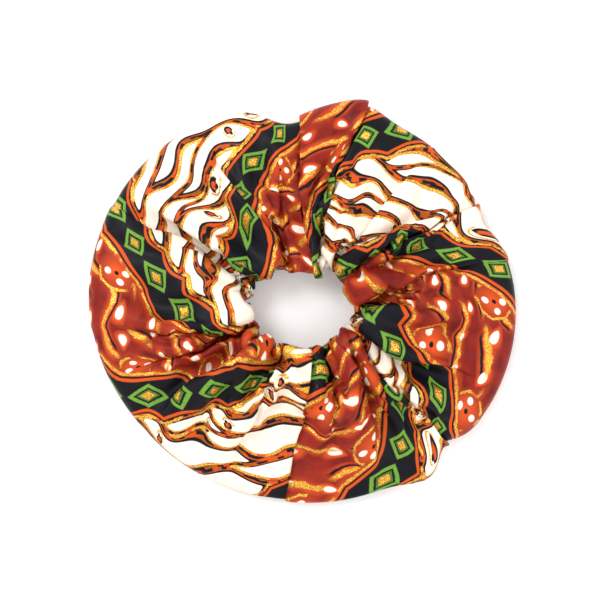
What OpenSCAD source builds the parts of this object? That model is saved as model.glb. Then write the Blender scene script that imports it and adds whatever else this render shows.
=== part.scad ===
// Fabric scrunchie: a printed cloth tube gathered over a loop of flat elastic, lying flat.
// Frame: +Z up, origin at the middle of the opening on the surface that it lies on.
// The ring is a stadium: two half rounds with a short straight strand between them on each side.
// It is cut at x = 0 into two halves, which slide apart along X as the elastic is stretched.

/* [Ring] */
// Inside radius of each end of the opening
opening_r = 11.5; // [9:0.5:16]
// Radius of each end at the outer edge
outer_r = 56.2; // [48:0.5:70]
// Half length of the straight strands between the two ends
straight_half = 3.8; // [2.5:0.1:12]
// Height of the crown above the surface
crown_h = 19; // [16:0.5:25]
// Radius at which the puffed tube is highest
crown_r = 31; // [27:0.5:38]

/* [Cloth] */
// Wall of the gathered cloth, its pleats pressed together
cloth_t = 0.8; // [0.5:0.1:1.4]
// Rounding of the outer edge
edge_round = 5; // [3.5:0.5:7]
// Rounding of the foot of the inner wall
foot_round = 4; // [2.5:0.5:5]
// Height at which the upright inner wall ends
inner_wall_h = 11; // [9:0.5:14]

/* [Long seam] */
// Clear floor between the lapped elastic and the seam allowance
seam_gap = 6.6; // [2:0.2:12]
// Height of the seam allowance inside the tube
allowance_h = 7; // [5:0.5:9]
// Thickness of the two layers of the seam allowance
allowance_t = 0.8; // [0.6:0.1:1.2]
// Height of the row of stitches above the floor of the tube
seam_stitch_h = 0.8; // [0.5:0.1:2]

/* [Elastic] */
// Clearance between the rounded foot of the inner wall and the elastic
elastic_gap = 2.5; // [0.5:0.5:5]
// Width of the flat elastic, which stands on edge
elastic_w = 6; // [4:0.5:8]
// Thickness of the flat elastic
elastic_t = 1.2; // [0.8:0.1:1.6]
// Length over which the two ends of the elastic lap
elastic_lap = 12; // [8:1:20]
// Number of stitch bars across the lap on each face
lap_bars = 6; // [3:1:8]

/* [Thread] */
// Thickness of the sewing thread
thread_d = 0.35; // [0.25:0.05:0.5]
// Length of one stitch of the closing seam
stitch_l = 2.4; // [1.8:0.2:3.2]
// Distance from one stitch of the closing seam to the next
stitch_pitch = 3.4; // [2.8:0.2:4.5]
// Distance of the closing stitches from the folded end of the cloth
stitch_inset = 1.6; // [1:0.2:2.2]

/* [Hidden] */

$fn = 96;
arc_steps = 9;                          // straight steps in each rounded quarter of the section
elastic_r = opening_r + foot_round + elastic_gap;
lap_outer_r = elastic_r + 2 * elastic_t;
lap_turn = elastic_lap / (elastic_r + elastic_t) * 180 / PI;
seam_r = lap_outer_r + seam_gap;
bar_turn = 1.4;                         // degrees of turn taken by one stitch bar
bar_margin = 1;                         // bare elastic above and below a stitch bar
stitch_edge = 7;                        // unstitched width at each edge of the tube

cloth_color = [0.59, 0.17, 0.12];
cream_color = [0.98, 0.94, 0.89];
elastic_color = [0.93, 0.92, 0.90];
thread_color = [0.20, 0.18, 0.20];

// A rounded quarter of an outline, from angle a to a + 90
function quarter(cx, cy, rx, ry, a) =
    [for (i = [0:arc_steps]) let (t = a + 90 * i / arc_steps) [cx + rx * cos(t), cy + ry * sin(t)]];

// Outline of the puffed tube, drawn in by t: outer edge, crown, upright inner wall, foot
function tube_outline(t) = concat(
    quarter(outer_r - edge_round, edge_round, edge_round - t, edge_round - t, -90),
    quarter(crown_r, edge_round, outer_r - crown_r - t, crown_h - edge_round - t, 0),
    quarter(crown_r, inner_wall_h, crown_r - opening_r - t, crown_h - inner_wall_h - t, 90),
    quarter(opening_r + foot_round, foot_round, foot_round - t, foot_round - t, 180)
);

module tube_section(t = 0) {
    polygon(tube_outline(t));
}

// Cut face of the cloth: the hollow tube with its seam allowance standing on the floor
module cloth_section() {
    difference() {
        tube_section();
        tube_section(cloth_t);
    }
    translate([seam_r, cloth_t / 2]) square([allowance_t, allowance_h + cloth_t / 2]);
}

// The left half of the stadium, swept with a section drawn as radius against height
module left_half_ring() {
    translate([-straight_half, 0, 0]) {
        rotate([0, 0, 90]) rotate_extrude(angle = 180) children();
        rotate([90, 0, 90]) linear_extrude(height = straight_half) children();
        mirror([0, 1, 0]) rotate([90, 0, 90]) linear_extrude(height = straight_half) children();
    }
}

module right_half_ring() {
    mirror([1, 0, 0]) left_half_ring() children();
}

module cover_left() {
    color(cloth_color) left_half_ring() cloth_section();
}

module cover_right() {
    color(cream_color) right_half_ring() cloth_section();
}

module elastic_section() {
    translate([elastic_r, cloth_t]) square([elastic_t, elastic_w]);
}

module elastic_left() {
    color(elastic_color) {
        left_half_ring() elastic_section();
        // the second end of the strip, lapped outside the first
        translate([-straight_half, 0, cloth_t])
            rotate([0, 0, 180 - lap_turn / 2])
                rotate_extrude(angle = lap_turn)
                    translate([elastic_r + elastic_t / 2, 0]) square([elastic_t * 1.5, elastic_w]);
    }
}

module elastic_right() {
    color(elastic_color) right_half_ring() elastic_section();
}

module seam_thread_section() {
    translate([seam_r + allowance_t, cloth_t + seam_stitch_h]) square(thread_d);
}

module long_seam_thread_left() {
    color(thread_color) left_half_ring() seam_thread_section();
}

module long_seam_thread_right() {
    color(thread_color) right_half_ring() seam_thread_section();
}

// One row of top stitches across the tube, where its folded end laps the other end
module closing_seam_stitches() {
    color(thread_color)
        translate([stitch_inset, 0, 0])
            mirror([0, 1, 0]) rotate([90, 0, 90])
                linear_extrude(height = thread_d)
                    intersection() {
                        difference() {
                            tube_section(-thread_d);
                            tube_section();
                        }
                        for (r = [opening_r + stitch_edge : stitch_pitch : outer_r - stitch_edge])
                            translate([r, inner_wall_h]) square([stitch_l, crown_h]);
                    }
}

// One stitch bar on a face of the elastic, at radius r
module stitch_bar(r) {
    rotate_extrude(angle = bar_turn)
        translate([r, bar_margin]) square([thread_d, elastic_w - 2 * bar_margin]);
}

module elastic_join_stitches() {
    step = lap_turn / (lap_bars + 1);
    color(thread_color)
        translate([-straight_half, 0, cloth_t])
            for (i = [1:lap_bars])
                rotate([0, 0, 180 - lap_turn / 2 + i * step - bar_turn / 2]) {
                    stitch_bar(lap_outer_r);
                    stitch_bar(elastic_r - thread_d);
                }
}

cover_left();
cover_right();
elastic_left();
elastic_right();
long_seam_thread_left();
long_seam_thread_right();
closing_seam_stitches();
elastic_join_stitches();
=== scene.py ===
# A gathered hair scrunchie lying flat, seen from above: a satin tube drawn up on a loop of flat elastic.
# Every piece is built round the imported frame, in metres, with the ring's middle at the origin.
import math

import bpy
import numpy as np
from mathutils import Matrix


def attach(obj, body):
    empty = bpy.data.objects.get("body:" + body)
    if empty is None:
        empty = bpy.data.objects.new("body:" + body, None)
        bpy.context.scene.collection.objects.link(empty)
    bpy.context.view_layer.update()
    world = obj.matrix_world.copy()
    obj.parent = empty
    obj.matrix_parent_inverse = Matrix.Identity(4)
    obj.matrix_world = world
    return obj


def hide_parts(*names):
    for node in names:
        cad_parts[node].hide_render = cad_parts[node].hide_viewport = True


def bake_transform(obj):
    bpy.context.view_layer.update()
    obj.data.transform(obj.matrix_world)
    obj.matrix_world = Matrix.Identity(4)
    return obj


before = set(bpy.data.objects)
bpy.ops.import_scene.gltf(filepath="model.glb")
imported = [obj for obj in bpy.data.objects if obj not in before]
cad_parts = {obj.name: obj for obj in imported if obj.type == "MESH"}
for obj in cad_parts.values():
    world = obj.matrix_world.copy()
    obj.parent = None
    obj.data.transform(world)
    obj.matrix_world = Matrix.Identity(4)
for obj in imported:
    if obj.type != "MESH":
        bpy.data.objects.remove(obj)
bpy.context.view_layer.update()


# The tube of cloth, drawn up. A strip of thin printed satin is seamed into a tube 98 mm round and threaded
# on the elastic, which draws its inner fold up round the opening. The gathers come from simulating that:
# the cloth starts as a smooth tube, is drawn in to the ring and settles on the table.
TUBE_LENGTH = 0.366
TUBE_GIRTH = 0.098
COLUMNS = 152
ROWS = 36
SEAM_ANGLE = -math.pi / 2
# The simulation runs ten times larger than life. These are in its units, as are the dents below.
SIM_SCALE = 10.0
OPENING = 0.118
OPENING_STRETCH = 0.034
EDGE_RADIUS = 0.556
EDGE_STRETCH = OPENING_STRETCH + 0.004
# Each crease: its bearing, the cloth it takes up at the inner and at the outer fold in mm, its spread in
# degrees, and the way it leans.
CREASES = (
    (157, 13, 2.0, 7, 1),
    (191, 15, 1.5, 7, -1),
    (225, 6, 0.0, 6, 1),
    (250, 6, 0.0, 6, -1),
    (288, 6, 0.5, 6, 1),
    (315, 17, 6.0, 7, 1),
    (338, 7, 0.0, 6, 1),
    (11, 13, 2.0, 7, -1),
    (36, 15, 3.0, 7, 1),
    (55, 6, 0.0, 6, 1),
    (74, 13, 4.0, 7, -1),
    (96, 14, 5.0, 7, 1),
    (125, 6, 0.5, 6, 1),
)
CREASE_SHARE = 1.8
FULLNESS = 1.18
IRONED_REACH = 0.017
# Where the outer fold stands out or pulls in: bearing, width in degrees, and how far.
EDGE_DENTS = (
    (94, 5, -0.050),
    (76, 5, 0.030),
    (27, 5, -0.028),
    (-47, 4, -0.030),
    (-56, 5, 0.028),
    (132, 28, 0.010),
    (228, 32, -0.034),
    (290, 25, -0.012),
    (42, 22, -0.012),
)


def wrapped(angle):
    return (angle + math.pi) % (2 * math.pi) - math.pi


def bearings(at_inner_fold):
    """The bearing of each column of cloth, with more cloth where a crease takes it up."""
    steps = 3600
    bearing = (np.arange(steps) + 0.5) / steps * 2 * math.pi + SEAM_ANGLE
    step = 2 * math.pi / steps
    taken = np.zeros(steps)
    for where, inner, outer, spread, _ in CREASES:
        amount = (inner if at_inner_fold else outer) * CREASE_SHARE
        apart = wrapped(bearing - math.radians(where))
        hump = np.exp(-0.5 * (apart / math.radians(spread / 2)) ** 2)
        taken += amount * hump / (hump.sum() * step)
    even = (TUBE_LENGTH * 1000 - taken.sum() * step) / (2 * math.pi)
    cloth = np.concatenate([[0], np.cumsum((even + taken) * step)])
    column = np.arange(COLUMNS) / COLUMNS
    found = np.interp(column, cloth / cloth[-1], np.linspace(0, 2 * math.pi, steps + 1))
    found = found + SEAM_ANGLE
    leaning = math.radians(5 if at_inner_fold else -4)
    return found + leaning * np.exp(-0.5 * (wrapped(found - SEAM_ANGLE) / math.radians(25)) ** 2)


def edge_radius(bearing):
    """How far out the outer fold lies."""
    radius = np.full_like(bearing, EDGE_RADIUS)
    for where, width, far in EDGE_DENTS:
        apart = (np.degrees(bearing) - where + 180) % 360 - 180
        radius += far * np.exp(-0.5 * (apart / width) ** 2)
    return radius


def stadium(bearing, radius, stretch):
    """A round ring pulled a little longer from left to right."""
    x = radius * np.cos(bearing) + stretch * np.tanh(3 * np.cos(bearing))
    return x, radius * np.sin(bearing)


def tube_section(girth_share, half_girth, thick, tilt, radius, height):
    """A flattened tube seen end on, its outer fold at share 0 and its inner fold at one half."""
    bulge = 0.5 * thick * np.sin(2 * math.pi * girth_share)
    inward = np.where(girth_share < 0.5, 1 - 2 * girth_share, 2 * girth_share - 1) * half_girth
    flat_r = radius + inward * math.cos(tilt) - bulge * math.sin(tilt)
    return flat_r, height + inward * math.sin(tilt) + bulge * math.cos(tilt)


def gathered_tube(frames=64, drawn_by=40):
    """Simulates the tube being drawn up and laid down, and returns its points, column by column."""
    rng = np.random.default_rng(3)
    column, girth = np.meshgrid(np.arange(COLUMNS) / COLUMNS, np.arange(ROWS) / ROWS, indexing="ij")
    around = 2 * math.pi * column + SEAM_ANGLE
    length = TUBE_LENGTH * SIM_SCALE
    half_girth = TUBE_GIRTH * SIM_SCALE / 2
    radius = length / (2 * math.pi)
    inner, outer = bearings(True), bearings(False)
    outward = np.where(girth < 0.5, 1 - 2 * girth, 2 * girth - 1)

    # As cut, which is the shape with no strain in it: a flat tube standing in a round, nearly upright.
    flat_r, flat_z = tube_section(girth, half_girth, 0.06, math.radians(89), radius, 0.0)
    as_cut = np.stack([flat_r * np.cos(around), flat_r * np.sin(around), flat_z], -1)

    # Threaded: leaning in, each crease already begun and a faint ripple all round.
    tilt = math.radians(55)
    threaded_radius = radius - 0.5 * half_girth * math.cos(tilt)
    r, z = tube_section(girth, half_girth, 0.16, tilt, threaded_radius, 0.14)
    lift = np.zeros(COLUMNS)
    for where, taken, _, spread, lean in CREASES:
        x = wrapped(inner - math.radians(where)) / math.radians(spread)
        lift += lean * 0.0022 * taken * x * np.exp(0.5 - 0.5 * x * x)
    ripple = 0.006 * np.cos(around * 17 + rng.uniform(0, 6))
    ripple = ripple + 0.005 * np.cos(around * 26 + rng.uniform(0, 6))
    bearing = 0.5 * around + 0.5 * (inner[:, None] * (1 - outward) + outer[:, None] * outward)
    z = z + lift[:, None] + ripple
    start = np.stack([r * np.cos(bearing), r * np.sin(bearing), z], -1)

    number = np.arange(COLUMNS * ROWS).reshape(COLUMNS, ROWS)
    beyond = np.roll(number, -1, 0)
    quads = np.stack([number, beyond, np.roll(beyond, -1, 1), np.roll(number, -1, 1)], -1)
    mesh = bpy.data.meshes.new("tube_drawing_up")
    mesh.from_pydata(start.reshape(-1, 3).tolist(), [], quads.reshape(-1, 4).tolist())
    tube = bpy.data.objects.new("tube_drawing_up", mesh)
    bpy.context.scene.collection.objects.link(tube)

    # Drawn up: the inner fold puckers on the elastic, and the outer fold lies on its outline.
    shift = rng.uniform(0, 2 * math.pi, 6)
    column_angle = 2 * math.pi * np.arange(COLUMNS) / COLUMNS + SEAM_ANGLE
    wave = 34 * column_angle + 0.8 * np.sin(5 * column_angle + shift[0])
    wave += 0.7 * np.sin(8 * column_angle + shift[1]) + 0.5 * np.sin(13 * column_angle + shift[2])
    pucker = 1 + 0.35 * np.sin(7 * column_angle + shift[3])
    pucker = (pucker + 0.25 * np.sin(11 * column_angle + shift[4])) * 0.011
    inner_x, inner_y = stadium(inner, OPENING + pucker * np.cos(wave), OPENING_STRETCH)
    inner_z = 0.085 + pucker * 1.7 * np.sin(wave + 0.6)
    outer_x, outer_y = stadium(outer, edge_radius(outer), EDGE_STRETCH)
    tube.shape_key_add(name="Basis")
    drawn = tube.shape_key_add(name="drawn")
    cut = tube.shape_key_add(name="as_cut")
    for i in range(COLUMNS):
        drawn.data[i * ROWS + ROWS // 2].co = (inner_x[i], inner_y[i], inner_z[i])
        drawn.data[i * ROWS].co = (outer_x[i], outer_y[i], 0.035)
    cut.data.foreach_set("co", as_cut.astype(np.float32).ravel())
    held = tube.vertex_groups.new(name="held")
    held.add([i * ROWS + ROWS // 2 for i in range(COLUMNS)], 1.0, "REPLACE")
    held.add([i * ROWS for i in range(COLUMNS)], 0.9, "REPLACE")
    drawn.value = 0.0
    drawn.keyframe_insert("value", frame=1)
    drawn.value = 1.0
    drawn.keyframe_insert("value", frame=drawn_by)
    for curve in mesh.shape_keys.animation_data.action.fcurves:
        for key in curve.keyframe_points:
            key.interpolation = "LINEAR"

    # A thin soft satin, on a table that holds it still.
    bpy.ops.mesh.primitive_plane_add(size=6, location=(0, 0, 0))
    table = bpy.context.object
    table.modifiers.new("collision", "COLLISION")
    table.collision.thickness_outer = 0.005
    table.collision.cloth_friction = 8
    cloth = tube.modifiers.new("cloth", "CLOTH")
    satin = cloth.settings
    satin.quality = 5
    satin.mass = 0.3
    satin.air_damping = 1
    satin.bending_model = "ANGULAR"
    satin.tension_stiffness = satin.compression_stiffness = 15
    satin.shear_stiffness = 5
    satin.bending_stiffness = 4
    satin.tension_damping = satin.compression_damping = satin.shear_damping = 5
    satin.bending_damping = 0.5
    satin.vertex_group_mass = "held"
    satin.rest_shape_key = cut
    touch = cloth.collision_settings
    touch.use_self_collision = True
    touch.self_distance_min = 0.010
    touch.distance_min = 0.008
    touch.collision_quality = 2
    touch.self_friction = 2
    cloth.point_cache.frame_start = 1
    cloth.point_cache.frame_end = frames
    scene = bpy.context.scene
    scene.frame_start = 1
    scene.frame_end = frames
    for step in range(1, frames + 1):
        scene.frame_set(step)
    settled = tube.evaluated_get(bpy.context.evaluated_depsgraph_get())
    points = np.empty(COLUMNS * ROWS * 3, np.float32)
    settled.data.vertices.foreach_get("co", points)
    for made in (tube, table):
        data = made.data
        bpy.data.objects.remove(made)
        bpy.data.meshes.remove(data)
    scene.frame_set(1)
    return points.reshape(COLUMNS, ROWS, 3).astype(float) / SIM_SCALE


def along_evened(values, spread):
    """Values round the ring, each averaged with its neighbours over a spread of columns."""
    reach = np.arange(-3 * spread, 3 * spread + 1)
    weights = np.exp(-0.5 * (reach / spread) ** 2)
    return sum(w * np.roll(values, k, 0) for w, k in zip(weights, reach)) / weights.sum()


def eased(points):
    """The outer flutes ironed smooth, fading inwards, and the tube filled out to its height."""
    x, y = stadium(bearings(False), edge_radius(bearings(False)), EDGE_STRETCH)
    edge_r = np.hypot(x, y)[:, None] / SIM_SCALE
    edge_bearing = np.arctan2(y, x)[:, None]
    r = np.hypot(points[..., 0], points[..., 1])
    bearing = wrapped(np.arctan2(points[..., 1], points[..., 0]) - edge_bearing)
    row = np.arange(ROWS)
    from_fold = np.minimum(row, ROWS - row) * TUBE_GIRTH / ROWS
    ironed = np.exp(-((from_fold / IRONED_REACH) ** 2))
    r = r * (1 - ironed) + (edge_r + along_evened(r - edge_r, 5)) * ironed
    bearing = bearing * (1 - ironed) + along_evened(bearing, 5) * ironed + edge_bearing
    z = points[..., 2] * (1 - ironed) + along_evened(points[..., 2], 5) * ironed
    return np.stack([r * np.cos(bearing), r * np.sin(bearing), z * FULLNESS], -1)


def finer(points, axis):
    """Twice as many points along one closed direction, on a smooth curve through them."""
    before, after, beyond = (np.roll(points, k, axis) for k in (1, -1, -2))
    middle = (9 * (points + after) - before - beyond) / 16
    both = np.stack([points, middle], axis + 1)
    shape = list(points.shape)
    shape[axis] *= 2
    return both.reshape(shape)


tube = gathered_tube()
tube = finer(finer(eased(tube), 0), 1)
COLUMNS_FINE, ROWS_FINE = tube.shape[:2]
along = np.roll(tube, -1, 0) - np.roll(tube, 1, 0)
over = np.roll(tube, -1, 1) - np.roll(tube, 1, 1)
outwards = np.cross(over, along)
outwards /= np.linalg.norm(outwards, axis=-1, keepdims=True)
if outwards[:, ROWS_FINE // 4, 2].mean() < 0:
    outwards = -outwards


def on_tube(column, row, out):
    """Points on the tube at any column and whole row, moved out from the cloth."""
    column = np.asarray(column, float)
    i, j = np.floor(column).astype(int), np.asarray(row) % ROWS_FINE
    t = (column - i)[..., None]
    p0, p1, p2, p3 = (tube[(i + k) % COLUMNS_FINE, j] for k in (-1, 0, 1, 2))
    bent = 2 * p0 - 5 * p1 + 4 * p2 - p3
    point = p1 + 0.5 * t * (p2 - p0 + t * (bent + t * (3 * (p1 - p2) + p3 - p0)))
    normal = outwards[i % COLUMNS_FINE, j] * (1 - t) + outwards[(i + 1) % COLUMNS_FINE, j] * t
    return point + normal * np.asarray(out)[..., None]


# The printed satin. A batik-style print in diagonal bands: black borders with green lozenges between cream
# and rust fields, and glitter gold drawn over the outlines. It is laid out in millimetres along and across
# the borders, as it was printed on the flat cloth, so it follows every fold.


class Tone:
    """A value somewhere on the cloth. Arithmetic on it adds Math nodes."""

    def __init__(self, tree, socket=None):
        self.tree = tree
        self.socket = socket

    def node(self, kind, settings=(), inputs=(), output=0):
        made = self.tree.nodes.new(kind)
        for name, value in dict(settings).items():
            if name == "stops":
                ramp = made.color_ramp
                while len(ramp.elements) < len(value):
                    ramp.elements.new(0.5)
                for stop, (position, colour) in zip(ramp.elements, value):
                    stop.position = position
                    stop.color = colour
            else:
                setattr(made, name, value)
        for key, value in dict(inputs).items():
            if isinstance(value, Tone):
                self.tree.links.new(value.socket, made.inputs[key])
            else:
                made.inputs[key].default_value = value
        return Tone(self.tree, made.outputs[output] if made.outputs else None)

    def maths(self, operation, *others, clamp=False):
        values = dict(enumerate((self, *others)))
        return self.node("ShaderNodeMath", {"operation": operation, "use_clamp": clamp}, values)

    def flipped(self, operation, other):
        return self.node("ShaderNodeMath", {"operation": operation}, {0: other, 1: self})

    def __add__(self, other):
        return self.maths("ADD", other)

    def __radd__(self, other):
        return self.maths("ADD", other)

    def __sub__(self, other):
        return self.maths("SUBTRACT", other)

    def __rsub__(self, other):
        return self.flipped("SUBTRACT", other)

    def __mul__(self, other):
        return self.maths("MULTIPLY", other)

    def __rmul__(self, other):
        return self.maths("MULTIPLY", other)

    def __truediv__(self, other):
        return self.maths("DIVIDE", other)

    def __mod__(self, other):
        return self.maths("FLOORED_MODULO", other)

    def __abs__(self):
        return self.maths("ABSOLUTE")

    def sine(self):
        return self.maths("SINE")

    def least(self, other):
        return self.maths("MINIMUM", other)

    def most(self, other):
        return self.maths("MAXIMUM", other)

    def blend_least(self, other, soft):
        return self.maths("SMOOTH_MIN", other, soft)

    def above(self, edge, soft=0.16):
        """1 where the value is over edge, 0 under it, with a soft line between."""
        return self.maths("MULTIPLY_ADD", 1 / soft, 0.5 - edge / soft, clamp=True)

    def below(self, edge, soft=0.16):
        return self.maths("MULTIPLY_ADD", -1 / soft, 0.5 + edge / soft, clamp=True)

    def between(self, low, high, soft=0.16):
        """1 on a drawn line from low to high."""
        return abs(self - (low + high) / 2).below((high - low) / 2, soft)

    def painted(self, colour, mask):
        """This colour with another painted over it where the mask is 1."""
        return self.node(
            "ShaderNodeMix",
            {"data_type": "RGBA"},
            {"Factor": mask, "A": self, "B": colour},
            "Result",
        )


def dye(red, green, blue):
    """A dye's colour, from its usual 0 to 255 shades."""
    shades = (shade / 255 for shade in (red, green, blue))
    return tuple(c / 12.92 if c < 0.0405 else ((c + 0.055) / 1.055) ** 2.4 for c in shades) + (1,)


NAVY_BLACK = dye(15, 15, 21)
GREEN = dye(106, 152, 54)
DEEP_GREEN = dye(72, 116, 40)
CREAM = dye(234, 222, 206)
ORANGE = dye(196, 76, 20)
FLAME = dye(216, 84, 30)
MAROON = dye(136, 34, 22)
DARK_MAROON = dye(86, 15, 16)
OLD_GOLD = dye(222, 156, 38)
# Pale yellow for the painted glints on the glitter gold.
PAINTED_GLINT_GOLD = dye(255, 238, 150)
BROWN_GOLD = dye(132, 72, 12)
# In millimetres: from one cream field to the next, from lozenge to lozenge, and from tongue to tongue.
REPEAT = 82.0
HALF_REPEAT = REPEAT / 2
LOZENGE_PITCH = 12.0
TONGUE_PITCH = 7.13
HALF_BORDER = 3.75
LEAN_ALONG = 0.82
LEAN_ACROSS = 0.594


def distance(x, y):
    return (x * x + y * y).maths("SQRT")


def printed_satin():
    """The cloth's finish: every length in it is in millimetres on the flat print."""
    material = bpy.data.materials.new("printed_satin_cloth")
    material.use_nodes = True
    tree = material.node_tree
    tree.nodes.clear()
    start = Tone(tree)
    flat = start.node("ShaderNodeUVMap", {"uv_map": "print"})
    flat = start.node("ShaderNodeVectorMath", {"operation": "SCALE"}, {0: flat, "Scale": 100.0})
    hand = start.node(
        "ShaderNodeTexNoise",
        {"noise_dimensions": "2D"},
        {"Vector": flat, "Scale": 0.07, "Detail": 0.4, "Roughness": 0.4},
        "Color",
    )
    along = start.node("ShaderNodeSeparateXYZ", (), {0: flat}, 0)
    across = start.node("ShaderNodeSeparateXYZ", (), {0: flat}, 1)
    drift = start.node("ShaderNodeSeparateColor", (), {0: hand}, 0) - 0.5
    sway = start.node("ShaderNodeSeparateColor", (), {0: hand}, 1) - 0.5
    s = along + drift * 3.0
    t = across + sway * 3.0

    def grain(scale, detail=1.0, output="Fac"):
        return start.node(
            "ShaderNodeTexNoise",
            {"noise_dimensions": "2D"},
            {"Vector": flat, "Scale": scale, "Detail": detail, "Roughness": 0.6},
            output,
        )

    fine = grain(2.2, 2.0)
    broken = grain(0.5, 2.0)
    cloudy = grain(0.16, 2.0)
    dabbed = grain(0.23, 1.0)
    ragged = (broken - 0.5) * 1.1

    # The bands: border lines and scallops on both sides of each row of lozenges.
    phase = t % REPEAT
    cream_field = phase.below(HALF_REPEAT, 0.01)
    offset = t % HALF_REPEAT
    offset = offset - offset.above(HALF_REPEAT / 2, 0.001) * HALF_REPEAT
    inward = abs(offset)
    turns = cream_field * (math.pi / 12 - math.pi / 24) + math.pi / 24
    scallop = 1 - abs((s * turns).sine())
    border = inward - HALF_BORDER - scallop * (2.3 - 0.9 * cream_field)
    lozenge = s % LOZENGE_PITCH - LOZENGE_PITCH / 2
    ring = (abs(lozenge + offset * 0.12) / 5.3 + abs(offset) / 3.55) * 2.95 + (fine - 0.5) * 0.22

    band = start.node("ShaderNodeRGB")
    band.socket.default_value = NAVY_BLACK
    band = band.painted(GREEN, ring.between(2.05, 2.9, 0.2) * (0.35 + fine * 1.15).least(1))
    band = band.painted(DEEP_GREEN, ring.between(1.2, 1.55, 0.2))
    lozenge_gold = (ring + broken * 0.5).below(1.35, 0.25)

    # Cream fields: rounded tongues side by side, drawn round in orange, black and gold.
    rise = s * LEAN_ACROSS + t * LEAN_ALONG
    run = s * LEAN_ALONG - t * LEAN_ACROSS
    wobble = (run * 0.21 + rise * 0.21).sine() * 1.7 + (run * 0.43 - rise * 0.1).sine() * 0.5
    bent = rise + wobble
    row = (bent / TONGUE_PITCH).maths("FLOOR")
    beside = bent % TONGUE_PITCH - TONGUE_PITCH / 2
    half_width = 2.3 + (run * 0.42 + row * 2.1).sine() * 0.5
    cut = abs(phase - HALF_REPEAT / 2 + (row * 2.4).sine() * 9.0 + beside * 1.1)
    tongue = (half_width - abs(beside)).blend_least(border - 2.5, 1.5).blend_least(cut - 1.5, 1.6)
    hook_across = t - phase + 30.6
    hook_along = ((row + 0.5) * TONGUE_PITCH - wobble - hook_across * LEAN_ALONG) / LEAN_ACROSS
    hook_x = run - (hook_along * LEAN_ALONG - hook_across * LEAN_ACROSS)
    hook_y = beside + 0.5
    from_hook = distance(hook_x, hook_y)
    hook = abs(from_hook - 1.25).below(0.4, 0.2) * (hook_x * 0.6 - hook_y).above(-0.75)
    hook = hook.most(distance(hook_x + 0.7, hook_y - 0.75).below(0.6))
    strokes = run * 1.15 + beside * 0.9 + row * 1.7 + (run * 0.37).sine() * 1.6
    strokes = strokes.sine().above(0.2, 0.3)
    lit_side = beside.above(0, 0.5)
    dark_side = 1 - lit_side

    gap = 0 - tongue
    cream = start.node("ShaderNodeRGB")
    cream.socket.default_value = ORANGE
    cream = cream.painted(BROWN_GOLD, dabbed.above(0.5, 0.12) * 0.7)
    cream = cream.painted(NAVY_BLACK, strokes * (gap + ragged * 0.5).above(0.95, 0.2))
    outline = gap + ragged * 0.3
    cream = cream.painted(NAVY_BLACK, outline.between(-0.2, 0.62, 0.2) * lit_side)
    cream = cream.painted(NAVY_BLACK, outline.between(0.75, 1.0, 0.2) * dark_side * 0.8)
    cream = cream.painted(CREAM, tongue.above(0.0, 0.16))
    cream = cream.painted(ORANGE, from_hook.below(1.2, 0.2) * tongue.above(0.2))
    cream = cream.painted(NAVY_BLACK, hook * tongue.above(0.0))
    cream = cream.painted(NAVY_BLACK, border.between(0.75, 1.2, 0.2))
    cream = cream.painted(ORANGE, border.below(0.75, 0.2))
    cream_gold = (gap + ragged * 0.5).between(0.05, 0.72, 0.2) * dark_side * dabbed.above(0.33, 0.1)
    cream_gold = cream_gold.most((border + ragged).between(1.3, 2.0, 0.25) * dabbed.above(0.4, 0.1))
    hook_arc = (from_hook + ragged * 0.4).between(1.9, 2.4) * hook_y.above(0.2)
    cream_gold = cream_gold.most(hook_arc * tongue.above(0))

    # Rust fields: dots in threes, drops and long strokes, turned half round on the far side of the field.
    side = (phase - HALF_REPEAT * 1.5).maths("SIGN")
    turned = (s * side) % 24.0 - 12.0
    from_dots_x = inward - 9.2
    from_dots = distance(from_dots_x, turned)
    white = distance(from_dots_x - 1.5, turned - 2.2)
    white = white.least(distance(from_dots_x - 1.6, turned + 1.9))
    white = white.least(distance(from_dots_x + 1.9, turned - 1.6))
    drops = []
    for drop_along, drop_in, long, wide in (
        (8.2, 16.2, 2.3, 1.15),
        (-9.2, 9.6, 1.7, 0.85),
        (-3.4, 17.4, 1.5, 0.7),
    ):
        drop_x = (inward - drop_in) * 0.83 + (turned - drop_along) * 0.56
        drop_y = (turned - drop_along) * 0.83 - (inward - drop_in) * 0.56
        drops.append(distance(drop_x / long, drop_y / (wide + drop_x * 0.15)))
    drop = drops[0].least(drops[1]).least(drops[2])
    stroke = (bent * 0.72 + (run * 0.24).sine() * 1.1) % 5.6 - 2.8
    swell = 0.62 + (run * 0.29 + rise * 0.6).sine() * 0.5
    away = from_dots.above(5.0, 0.6) * border.above(3.2, 0.5)
    glow = (1.25 - from_dots / 5.2).most(0) * 0.8
    glow = glow.most((1 - (border - 1.0) / 3.4).least(1) * 0.85)
    glow = glow.most((1 - abs(stroke + 0.3) / 1.9).most(0) * away * swell * 1.2)
    glow = glow.most((1.95 - drop).least(1).most(0))
    rust = start.node("ShaderNodeRGB")
    rust.socket.default_value = MAROON
    rust = rust.painted(DARK_MAROON, (cloudy * 2.4 - 0.85).maths("MULTIPLY", 0.85, clamp=True))
    rust = rust.painted(FLAME, (glow * (0.5 + cloudy * 0.9)).maths("MULTIPLY", 1.0, clamp=True))
    ink = (stroke + ragged * 0.3).between(0.25, 0.8, 0.25)
    rust = rust.painted(NAVY_BLACK, ink * away * swell.above(0.42, 0.3))
    rust = rust.painted(NAVY_BLACK, from_dots.below(0.62, 0.2))
    rust = rust.painted(CREAM, white.below(0.95, 0.22))
    rust = rust.painted(CREAM, drop.below(0.92, 0.16))
    rust = rust.painted(NAVY_BLACK, border.between(0.85, 1.45, 0.2))
    rust = rust.painted(ORANGE, border.below(0.85, 0.2))
    rust_gold = (stroke + ragged).between(-0.95, -0.1, 0.25) * away * swell.above(0.3, 0.3)
    arc = (from_dots + ragged * 1.2).between(4.5, 5.2, 0.25)
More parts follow.
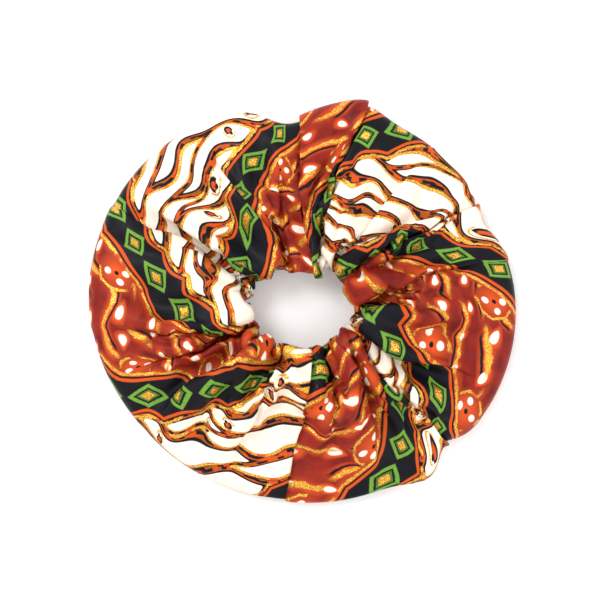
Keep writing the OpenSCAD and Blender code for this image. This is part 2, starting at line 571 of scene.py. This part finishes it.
    arc = arc * (from_dots_x + turned * 0.5).above(0.5, 0.6)
    rust_gold = rust_gold.most(arc * dabbed.above(0.4, 0.1))
    rust_gold = rust_gold.most((border + ragged).between(1.7, 2.5, 0.25) * dabbed.above(0.34, 0.1))

    # Laid over one another: fields, band, then the gold.
    in_band = border.below(0, 0.16)
    colour = rust.painted(cream, cream_field).painted(band, in_band)
    field_gold = rust_gold * (1 - cream_field) + cream_gold * cream_field
    gold = (field_gold * (1 - in_band) + lozenge_gold * in_band).maths("MULTIPLY", 1.0, clamp=True)
    # The glitter gold: brown and gold flecks are the ink's own uneven tone, and the bright yellow flecks
    # are painted glints.
    spark = (grain(3.4, 3.0) * 2.6 - 0.8).most(0).least(1)
    gold_ink_and_painted_glints = start.node(
        "ShaderNodeValToRGB",
        {"stops": ((0.1, BROWN_GOLD), (0.42, OLD_GOLD), (0.68, OLD_GOLD), (0.9, PAINTED_GLINT_GOLD))},
        {"Fac": spark},
    )
    colour = colour.painted(gold_ink_and_painted_glints, gold)

    bump = start.node(
        "ShaderNodeBump",
        (),
        {"Strength": 0.25, "Distance": 0.0002, "Height": grain(3.2, 2.0) * 0.4 + gold * spark},
    )
    shader = start.node(
        "ShaderNodeBsdfPrincipled",
        (),
        {
            "Base Color": colour,
            "Roughness": 0.46 - gold * 0.14 + gold * (spark - 0.5) * 0.2,
            "Metallic": gold * 0.75,
            "Normal": bump,
            "Specular IOR Level": 0.12,
        },
    )
    start.node("ShaderNodeOutputMaterial", (), {"Surface": shader})
    return material


# The cover, sewn up. The satin strip, 112 x 412 mm, has its long edges seamed under the ring, with their
# allowances inside. At the front its right-hand end is folded under and laid over the left-hand end. The
# sharp pleats, where the cloth lies over itself, are folded into the gathered tube.
HEM_ROWS = 6
LONG_SEAM_ROW = 52
ALLOWANCE_ROWS = 5
LEFT_END = 5
CLOTH_THICKNESS = 0.00022
CLOSING_LAP = 0.00042
PLEAT_HEIGHT = 0.0013
PLEAT_REACH = 5.0
# Each pleat: its bearing, the columns of cloth folded in, the share of them left at the outer fold, the
# side that lies on top, and the millimetres of print swallowed beyond the fold.
PLEATS = (
    (157, 6.0, 0.25, -1, 0),
    (95, 6.5, 0.90, 1, 12),
    (77, 6.5, 0.90, -1, 12),
    (33, 6.0, 0.60, 1, 0),
    (14, 4.5, 0.20, -1, 0),
    (314, 7.5, 0.95, 1, 37),
    (192, 5.0, 0.10, 1, 0),
    (208, 4.0, 0.05, 1, 0),
    (225, 3.5, 0.00, -1, 0),
    (250, 3.5, 0.00, 1, 0),
    (289, 4.0, 0.00, 1, 0),
    (338, 4.0, 0.00, -1, 0),
    (55, 4.0, 0.00, 1, 0),
    (124, 4.0, 0.00, -1, 0),
)

outer_bearing = np.degrees(bearings(False))
pleat_at = [
    round(np.interp(where if where < 270 else where - 360, outer_bearing, 2.0 * np.arange(COLUMNS)))
    for where, *_ in PLEATS
]
cloth = [np.arange(-HEM_ROWS, COLUMNS_FINE + HEM_ROWS + 1.0)]
cloth += [at + np.arange(-3, 3, 1 / 3) for at in pleat_at]
cloth = np.unique(np.round(np.concatenate(cloth), 3))
count_along = len(cloth)
count_over = ROWS_FINE + 2 * ALLOWANCE_ROWS + 1
step_over = np.arange(count_over) - ALLOWANCE_ROWS
column = np.abs(cloth)
row = np.abs(step_over) + LONG_SEAM_ROW

# How far out each part of the cloth lies: the right-hand end over the left-hand one, its hem folded back
# under it, and the two allowances of the long seam inside.
raised = CLOSING_LAP * np.exp(-column / 4.0)
layer = np.where(cloth < 0, raised - 0.00030, raised)
layer = np.where(cloth == 0, raised - 0.00015, layer)
left_end = np.clip((cloth - (COLUMNS_FINE - LEFT_END)) / LEFT_END, 0, 1)
layer = np.where(cloth > COLUMNS_FINE - LEFT_END, -0.00032 * left_end, layer)
tucked = np.where(step_over < 0, -0.00040, 0.0)
tucked = np.where(step_over > ROWS_FINE, -0.00075, tucked)
tucked = np.where(step_over == 0, -0.00020, tucked)
tucked = np.where(step_over == ROWS_FINE, -0.00030, tucked)

# Each pleat: the cloth beside it is pulled back over itself, one side above and the other below.
from_fold = np.abs((row + ROWS_FINE // 2) % ROWS_FINE - ROWS_FINE // 2) / (ROWS_FINE / 2)
inwards = np.clip(from_fold / 0.45, 0, 1)
inwards = inwards * inwards * (3 - 2 * inwards)
cloth_place = np.repeat(column[:, None], count_over, axis=1)
cloth_height = layer[:, None] + tucked[None, :]
for (_, folded, at_edge, on_top, _), at in zip(PLEATS, pleat_at):
    amount = folded * (at_edge + (1 - at_edge) * inwards)[None, :]
    x = (column - at)[:, None]
    pulled = 0.5 + 0.5 * np.tanh(0.9 * x) - column[:, None] / COLUMNS_FINE
    cloth_place = cloth_place - amount * pulled
    size = PLEAT_HEIGHT * amount / folded * (1 - 0.45 * from_fold[None, :])
    step = np.tanh(0.9 * x) * np.exp(-((x / PLEAT_REACH) ** 2))
    cloth_height = cloth_height - on_top * size * step
points = on_tube(cloth_place, np.repeat(row[None, :], count_along, axis=0), cloth_height)
number = np.arange(count_along * count_over).reshape(count_along, count_over)
quads = np.stack([number[:-1, :-1], number[:-1, 1:], number[1:, 1:], number[1:, :-1]], -1)
mesh = bpy.data.meshes.new("gathered_cover")
mesh.from_pydata(points.reshape(-1, 3).tolist(), [], quads.reshape(-1, 4).tolist())
cover = bpy.data.objects.new("gathered_cover", mesh)
bpy.context.scene.collection.objects.link(cover)

# The print's place on the flat strip, in units of 100 mm. The strip is cut on the bias, so the borders run
# at 45 degrees to it. Each pleat hides what lies in its fold.
PRINT_UNIT = 100
PRINT_SHIFT = 0.008
taken_up = sum(folded * at_edge for _, folded, at_edge, _, _ in PLEATS)
strip_length = TUBE_LENGTH * 1000 * (1 + taken_up / COLUMNS_FINE)
cloth_along = strip_length / COLUMNS_FINE
cloth_over = TUBE_GIRTH * 1000 / ROWS_FINE
middle = (cloth[:-1] + cloth[1:]) / 2
hidden = np.zeros(count_along - 1)
for (_, folded, at_edge, _, swallowed), at in zip(PLEATS, pleat_at):
    hidden += np.where(middle < at, swallowed - folded * at_edge * cloth_along, 0)
uv = np.empty((count_along - 1, count_over - 1, 4, 2))
for corner, (di, dj) in enumerate(((0, 0), (0, 1), (1, 1), (1, 0))):
    u = strip_length - cloth[di : count_along - 1 + di] * cloth_along + hidden
    v = (step_over[:-1] + dj + LONG_SEAM_ROW - ROWS_FINE) * cloth_over
    uv[..., corner, 0] = (v[None, :] - u[:, None]) / math.sqrt(2) / PRINT_UNIT
    uv[..., corner, 1] = (v[None, :] + u[:, None]) / math.sqrt(2) / PRINT_UNIT + PRINT_SHIFT
print_map = mesh.uv_layers.new(name="print")
print_map.data.foreach_set("uv", uv.astype(np.float32).ravel())
mesh.shade_smooth()
bpy.ops.object.select_all(action="DESELECT")
cover.select_set(True)
bpy.context.view_layer.objects.active = cover
wall = cover.modifiers.new("wall", "SOLIDIFY")
wall.thickness = CLOTH_THICKNESS
wall.offset = -1
bpy.ops.object.modifier_apply(modifier=wall.name)
mesh.materials.append(printed_satin())
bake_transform(cover)
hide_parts("cover_left", "cover_right")
(COLUMNS_FINE + 2 * HEM_ROWS) * cloth_along / 1000


# The elastic. A loop of 6 mm woven elastic, 1.2 mm thick, lies inside the tube just behind its inner fold,
# low between the layers of cloth. Its ends lap by 12 mm at the left, where they are sewn together.
ELASTIC_RADIUS = 0.0185
ELASTIC_STRETCH = 0.0038
ELASTIC_WIDTH = 0.006
ELASTIC_THICKNESS = 0.0012
ELASTIC_LAP = 0.012
ELASTIC_STEPS = 260
ELASTIC_LANES = 7
ELASTIC_RIBS = 6
LAP_BEARING = math.pi
# How far up between the layers it lies: 0 on the lower one, 1 on the upper one.
ELASTIC_LEVEL = 0.18

inner_fold = ROWS_FINE // 2
under = tube[:, inner_fold + 2 : inner_fold + 13].reshape(-1, 3)
upper = tube[:, inner_fold - 12 : inner_fold - 1].reshape(-1, 3)


def between_layers(x, y, reach=0.0013):
    """Where the elastic lies at a place: between the cloth layers, near the lower one."""
    heights = []
    for cloth_layer in (under, upper):
        apart = (cloth_layer[:, 0] - x[..., None]) ** 2 + (cloth_layer[:, 1] - y[..., None]) ** 2
        weight = np.exp(-0.5 * apart / reach**2) + 1e-12
        heights.append((weight * cloth_layer[:, 2]).sum(-1) / weight.sum(-1))
    return heights[0] + (heights[1] - heights[0]) * ELASTIC_LEVEL


lap_turn = ELASTIC_LAP / (ELASTIC_RADIUS + ELASTIC_STRETCH)
bearing = LAP_BEARING - lap_turn / 2 + np.linspace(0, 2 * math.pi + lap_turn, ELASTIC_STEPS)
lanes = np.linspace(-0.5, 0.5, ELASTIC_LANES) * ELASTIC_WIDTH
lane_x, lane_y = stadium(bearing[:, None], ELASTIC_RADIUS + lanes[None, :], ELASTIC_STRETCH)
lane_z = between_layers(lane_x, lane_y)
share = np.linspace(0, 1, ELASTIC_STEPS)
lapped = 1.6 * lap_turn / (2 * math.pi + lap_turn)
sloping = lapped * 0.4
lift = np.clip((share - 1 + lapped) / sloping, 0, 1) - np.clip((lapped - share) / sloping, 0, 1)
lane_z += 0.5 * ELASTIC_THICKNESS * lift[:, None]
turn = np.linspace(0, 2 * math.pi, 40, endpoint=False)
flat_x = np.sign(np.cos(turn)) * np.abs(np.cos(turn)) ** 0.45 * ELASTIC_WIDTH / 2
flat_z = np.sign(np.sin(turn)) * np.abs(np.sin(turn)) ** 0.45 * ELASTIC_THICKNESS / 2
flat_z *= 1 - 0.14 * (1 + np.cos(flat_x / ELASTIC_WIDTH * 2 * math.pi * ELASTIC_RIBS)) / 2
ring_x, ring_y = stadium(bearing[:, None], ELASTIC_RADIUS + flat_x[None, :], ELASTIC_STRETCH)
ring_z = np.stack([np.interp(flat_x, lanes, heights) for heights in lane_z]) + flat_z[None, :]
rings = np.stack([ring_x, ring_y, ring_z], -1)


def skin(count, sides):
    """Faces over a row of rings of points, with both ends closed."""
    number = np.arange(count * sides).reshape(count, sides)
    beside = np.roll(number, -1, 1)
    faces = np.stack([number[:-1], beside[:-1], beside[1:], number[1:]], -1).reshape(-1, 4).tolist()
    return faces + [number[0, ::-1].tolist(), number[-1].tolist()]


def closed_piece(name, points, faces):
    """A mesh piece at the origin with its faces turned outwards."""
    mesh = bpy.data.meshes.new(name)
    mesh.from_pydata(np.asarray(points).reshape(-1, 3).tolist(), [], faces)
    piece = bpy.data.objects.new(name, mesh)
    bpy.context.scene.collection.objects.link(piece)
    bpy.ops.object.select_all(action="DESELECT")
    piece.select_set(True)
    bpy.context.view_layer.objects.active = piece
    bpy.ops.object.mode_set(mode="EDIT")
    bpy.ops.mesh.select_all(action="SELECT")
    bpy.ops.mesh.normals_make_consistent(inside=False)
    bpy.ops.object.mode_set(mode="OBJECT")
    mesh.shade_smooth()
    return piece


def woven_elastic():
    """Off-white woven elastic, rubbed lighter on its ribs and a little soiled."""
    material = bpy.data.materials.new("woven_elastic_band")
    material.use_nodes = True
    material.node_tree.nodes.clear()
    start = Tone(material.node_tree)
    place = start.node("ShaderNodeTexCoord", (), (), "Object")
    rubbed = start.node(
        "ShaderNodeTexNoise",
        (),
        {"Vector": place, "Scale": 900.0, "Detail": 2.0},
        "Fac",
    )
    soiled = start.node("ShaderNodeTexNoise", (), {"Vector": place, "Scale": 90.0}, "Fac")
    weave = start.node("ShaderNodeTexVoronoi", (), {"Vector": place, "Scale": 2200.0}, "Distance")
    colour = start.node("ShaderNodeRGB")
    colour.socket.default_value = dye(236, 232, 222)
    colour = colour.painted(dye(205, 198, 184), (soiled * 1.6 - 0.4).most(0).least(1))
    colour = colour.painted(dye(250, 248, 242), rubbed.above(0.6, 0.2) * 0.6)
    bump = start.node("ShaderNodeBump", (), {"Strength": 0.6, "Distance": 0.0002, "Height": weave})
    shader = start.node(
        "ShaderNodeBsdfPrincipled",
        (),
        {
            "Base Color": colour,
            "Roughness": 0.7 + rubbed * 0.2,
            "Normal": bump,
            "Sheen Weight": 0.2,
        },
    )
    start.node("ShaderNodeOutputMaterial", (), {"Surface": shader})
    return material


elastic = closed_piece("elastic_loop", rings, skin(ELASTIC_STEPS, len(turn)))
elastic.data.materials.append(woven_elastic())
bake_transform(elastic)
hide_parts("elastic_left", "elastic_right")


# The sewing. All of it is polyester thread 0.35 mm thick: zigzag bars through the lap of the elastic,
# a running seam inside the tube, and small stitches beside the fold that closes the ring.
THREAD = 0.00035
STITCH_LENGTH = 0.0024
STITCH_PITCH = 0.0034
CLOSING_STITCH_LENGTH = 0.0014
BAR_LENGTH = 0.0026


def one_stitch(length):
    """A stitch lying along x, its ends dipping into the cloth."""
    steps = 9
    sides = 8
    x = np.linspace(-0.5, 0.5, steps)
    round_end = np.sqrt(np.clip(1.02 - (2 * x) ** 6, 0.05, 1))
    dip = -0.9 * THREAD * (2 * x) ** 4
    turn = np.linspace(0, 2 * math.pi, sides, endpoint=False)
    points = np.stack(
        [
            np.repeat(x * length, sides),
            (round_end[:, None] * np.cos(turn) * THREAD / 2).ravel(),
            (dip[:, None] + round_end[:, None] * np.sin(turn) * THREAD / 2).ravel(),
        ],
        -1,
    )
    return points, skin(steps, sides)


def stitched(name, middles, directions, ups, length):
    """A stitch at each place, laid along its direction with its top away from the cloth."""
    shape, shape_faces = one_stitch(length)
    points = []
    faces = []
    for middle, direction, up in zip(middles, directions, ups):
        direction = direction / np.linalg.norm(direction)
        up = up - direction * np.dot(up, direction)
        up = up / np.linalg.norm(up)
        turned = np.stack([direction, np.cross(up, direction), up], 0)
        faces += [tuple(k + len(points) * len(shape) for k in face) for face in shape_faces]
        points.append(shape @ turned + middle)
    return closed_piece(name, np.concatenate(points), faces)


def sewing_thread(name, red, green, blue):
    """Twisted polyester thread, with painted shade in the grooves between its plies."""
    material = bpy.data.materials.new(name)
    material.use_nodes = True
    material.node_tree.nodes.clear()
    start = Tone(material.node_tree)
    place = start.node("ShaderNodeTexCoord", (), (), "Object")
    plies = start.node(
        "ShaderNodeTexWave",
        {"bands_direction": "DIAGONAL"},
        {"Vector": place, "Scale": 1500.0},
        "Fac",
    )
    fluff = start.node("ShaderNodeTexNoise", (), {"Vector": place, "Scale": 5000.0}, "Fac")
    colour = start.node("ShaderNodeRGB")
    colour.socket.default_value = dye(red, green, blue)
    # Painted shade: the grooves between the twisted plies are darkened as if in shadow.
    painted_shade_between_plies = dye(red * 0.55, green * 0.55, blue * 0.55)
    colour = colour.painted(painted_shade_between_plies, plies.below(0.35, 0.3) * 0.7)
    bump = start.node(
        "ShaderNodeBump",
        (),
        {"Strength": 0.5, "Distance": 0.00008, "Height": plies + fluff * 0.3},
    )
    shader = start.node(
        "ShaderNodeBsdfPrincipled",
        (),
        {"Base Color": colour, "Roughness": 0.5 + fluff * 0.25, "Normal": bump},
    )
    start.node("ShaderNodeOutputMaterial", (), {"Surface": shader})
    return material


# Six zigzag bars through the lap, each a pair of slanting threads on top of it.
middles = []
directions = []
for bar in LAP_BEARING + np.linspace(-0.36, 0.36, 6) * lap_turn:
    for half in (-1, 1):
        x, y = stadium(bar + half * 0.02, ELASTIC_RADIUS + half * 0.0014, ELASTIC_STRETCH)
        level = float(between_layers(np.array([x]), np.array([y]))[0])
        middles.append((float(x), float(y), level + ELASTIC_THICKNESS + 0.0001))
        directions.append((math.cos(bar) + 0.15 * half, math.sin(bar), 0.0))
ups = np.tile((0.0, 0.0, 1.0), (len(middles), 1))
join = stitched("elastic_lap_sewing", np.array(middles), np.array(directions), ups, BAR_LENGTH)
join.data.materials.append(sewing_thread("elastic_thread", 240, 238, 230))
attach(join, "left_half")
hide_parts("elastic_join_stitches")


def along_seam(name, line, ups, length):
    """A row of stitches, evenly spaced along a line of points."""
    gone = np.concatenate([[0], np.cumsum(np.linalg.norm(np.diff(line, axis=0), axis=1))])
    at = np.arange(0.5 * STITCH_PITCH, gone[-1], STITCH_PITCH)
    middles, ends, tops = (
        np.stack([np.interp(where, gone, values[:, k]) for k in range(3)], -1)
        for where, values in ((at, line), (at + 0.0006, line), (at, ups))
    )
    return stitched(name, middles, ends - middles, tops, length)


# The long seam runs all round under the ring, inside the tube where the two allowances meet.
seam = ALLOWANCE_ROWS + ROWS_FINE
seam_place = cloth_place[:, seam]
seam_line = on_tube(seam_place, np.full(count_along, LONG_SEAM_ROW), cloth_height[:, seam] - 0.0010)
seam_out = outwards[seam_place.astype(int) % COLUMNS_FINE, LONG_SEAM_ROW]
long_seam = along_seam("long_seam_sewing", seam_line, -seam_out, STITCH_LENGTH)
long_seam.data.materials.append(sewing_thread("seam_thread", 60, 24, 22))
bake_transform(long_seam)
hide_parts("long_seam_thread_left", "long_seam_thread_right")

# The closing stitches cross the top of the tube, one column in from the fold that laps the other end.
closing_rows = np.arange(2, ROWS_FINE // 2 - 1)
closing_column = np.full(len(closing_rows), 1)
closing_line = on_tube(closing_column, closing_rows, np.full(len(closing_rows), CLOSING_LAP))
closing_out = outwards[1, closing_rows]
closing = along_seam("closing_seam_sewing", closing_line, closing_out, CLOSING_STITCH_LENGTH)
closing.data.materials.append(sewing_thread("closing_thread", 96, 26, 24))
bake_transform(closing)
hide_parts("closing_seam_stitches")


# The table it lies on: a plain sheet of white board, far larger than the view and very faintly mottled.
# It isn't part of the object.
bpy.ops.object.select_all(action="DESELECT")
bpy.ops.mesh.primitive_plane_add(size=3.0, location=(0, 0, 0))
board = bpy.context.object
board.name = "pale_board"
paint = bpy.data.materials.new("white_board")
paint.use_nodes = True
paint.node_tree.nodes.clear()
start = Tone(paint.node_tree)
on_board = start.node("ShaderNodeTexCoord", (), (), "Object")
mottle = start.node("ShaderNodeTexNoise", (), {"Vector": on_board, "Scale": 9.0, "Detail": 3.0}, "Fac")
colour = start.node("ShaderNodeRGB")
colour.socket.default_value = dye(253, 253, 253)
colour = colour.painted(dye(248, 246, 246), (mottle * 2.2 - 0.7).most(0).least(1))
shader = start.node(
    "ShaderNodeBsdfPrincipled",
    (),
    {"Base Color": colour, "Roughness": 0.75, "Specular IOR Level": 0.2},
)
start.node("ShaderNodeOutputMaterial", (), {"Surface": shader})
board.data.materials.append(paint)


# Soft studio light: a white room, a large lamp above and to the left, and a larger, weaker one from the
# right. Both lamps face the middle of the ring.
room = bpy.data.worlds.new("white_room")
bpy.context.scene.world = room
room.use_nodes = True
background = room.node_tree.nodes["Background"]
background.inputs["Color"].default_value = (1.0, 1.0, 1.0, 1)
background.inputs["Strength"].default_value = 1.2
for name, lamp_place, size, power in (
    ("main_lamp", (-0.55, 0.45, 0.95), 0.45, 6.0),
    ("side_lamp", (0.75, -0.25, 0.80), 0.80, 2.5),
):
    lamp = bpy.data.lights.new(name, "AREA")
    lamp.shape = "DISK"
    lamp.size = size
    lamp.energy = power
    stand = bpy.data.objects.new(name, lamp)
    stand.location = lamp_place
    x, y, z = lamp_place
    stand.rotation_euler = (math.atan2(math.hypot(x, y), z), 0, math.atan2(x, -y))
    bpy.context.scene.collection.objects.link(stand)
bpy.context.scene.view_settings.view_transform = "Standard"


# The camera looks straight down on the ring from 0.7 m, with a long lens.
lens = bpy.data.cameras.new("overhead_camera")
lens.lens = 150.5
lens.sensor_width = 36
camera = bpy.data.objects.new("overhead_camera", lens)
camera.location = (-0.00056, 0.00195, 0.7)
bpy.context.scene.collection.objects.link(camera)
bpy.context.scene.camera = camera
